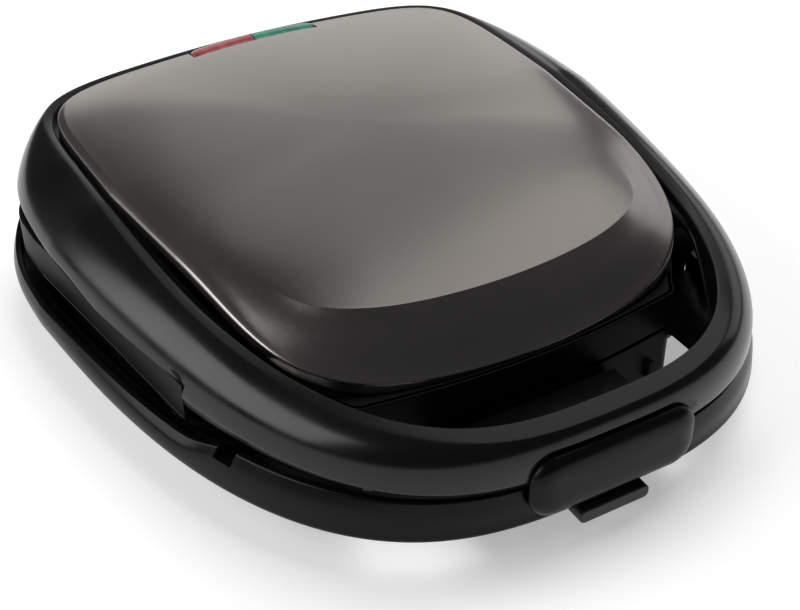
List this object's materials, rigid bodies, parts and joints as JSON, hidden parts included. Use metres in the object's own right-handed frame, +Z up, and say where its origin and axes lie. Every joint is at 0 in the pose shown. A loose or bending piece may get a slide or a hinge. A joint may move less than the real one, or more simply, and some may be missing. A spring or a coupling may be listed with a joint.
{
  "type": "sandwich toaster",
  "caption": "Countertop sandwich toaster with a satin grey domed cover, gloss black lid with a loop handle, front latch lever, signal lights and cast pocket plates",
  "frame": {"origin": "on the table under the middle of the bounding box", "axes": "X to the right as seen by the cook, the front handle points to -Y and the hinge to +Y, Z up"},
  "size_m": [0.273, 0.2971, 0.077],
  "materials": {
    "housing": "gloss",
    "liner": "satin",
    "sheet": "satin",
    "rubber": "matte",
    "nonstick": "satin",
    "steel": "satin",
    "heater": "satin",
    "reflector": "bright",
    "ceramic": "matte",
    "fuse": "satin",
    "terminal": "matte",
    "wire": "matte",
    "cover": "satin",
    "red_lens": "translucent gloss",
    "green_lens": "translucent gloss",
    "carrier": "translucent",
    "lamp": "clear",
    "grip": "gloss",
    "lever": "matte"
  },
  "bodies": {
    "base": {"base_skirt": "housing", "base_tub": "liner", "bottom_cover": "sheet", "feet": "rubber", "lower_plate": "nonstick", "lower_plate_screws": "steel", "lower_element": "heater", "lower_reflector": "reflector", "thermostat": "ceramic", "thermal_fuse": "fuse", "terminal_block": "terminal", "cord_gland": "rubber", "base_wiring": "wire", "base_screws": "steel", "hinge_pins": "steel"},
    "lid": {"lid_ring": "housing", "lid_cover": "cover", "upper_liner": "liner", "upper_plate": "nonstick", "upper_plate_screws": "steel", "upper_element": "heater", "upper_reflector": "reflector", "red_lens": "red_lens", "green_lens": "green_lens", "lamp_carrier": "carrier", "lamps": "lamp", "lid_wiring": "wire", "lid_screws": "steel", "grip_pad": "grip", "grip_screws": "steel", "latch_pin": "steel", "latch_spring": "steel"},
    "latch": {"latch_lever": "lever"}
  },
  "joints": [
    {"name": "lid_hinge", "type": "hinge", "parent": "base", "child": "lid", "pos_m": [0, 0.143, 0.038], "axis": [-1, 0, 0], "range_deg": [0, 100]},
    {"name": "latch_hinge", "type": "hinge", "parent": "lid", "child": "latch", "pos_m": [0, -0.1394, 0.043], "axis": [1, 0, 0], "range_deg": [0, 7], "stiffness_Nm_per_rad": 0.02, "springref_deg": -11.46}
  ]
}
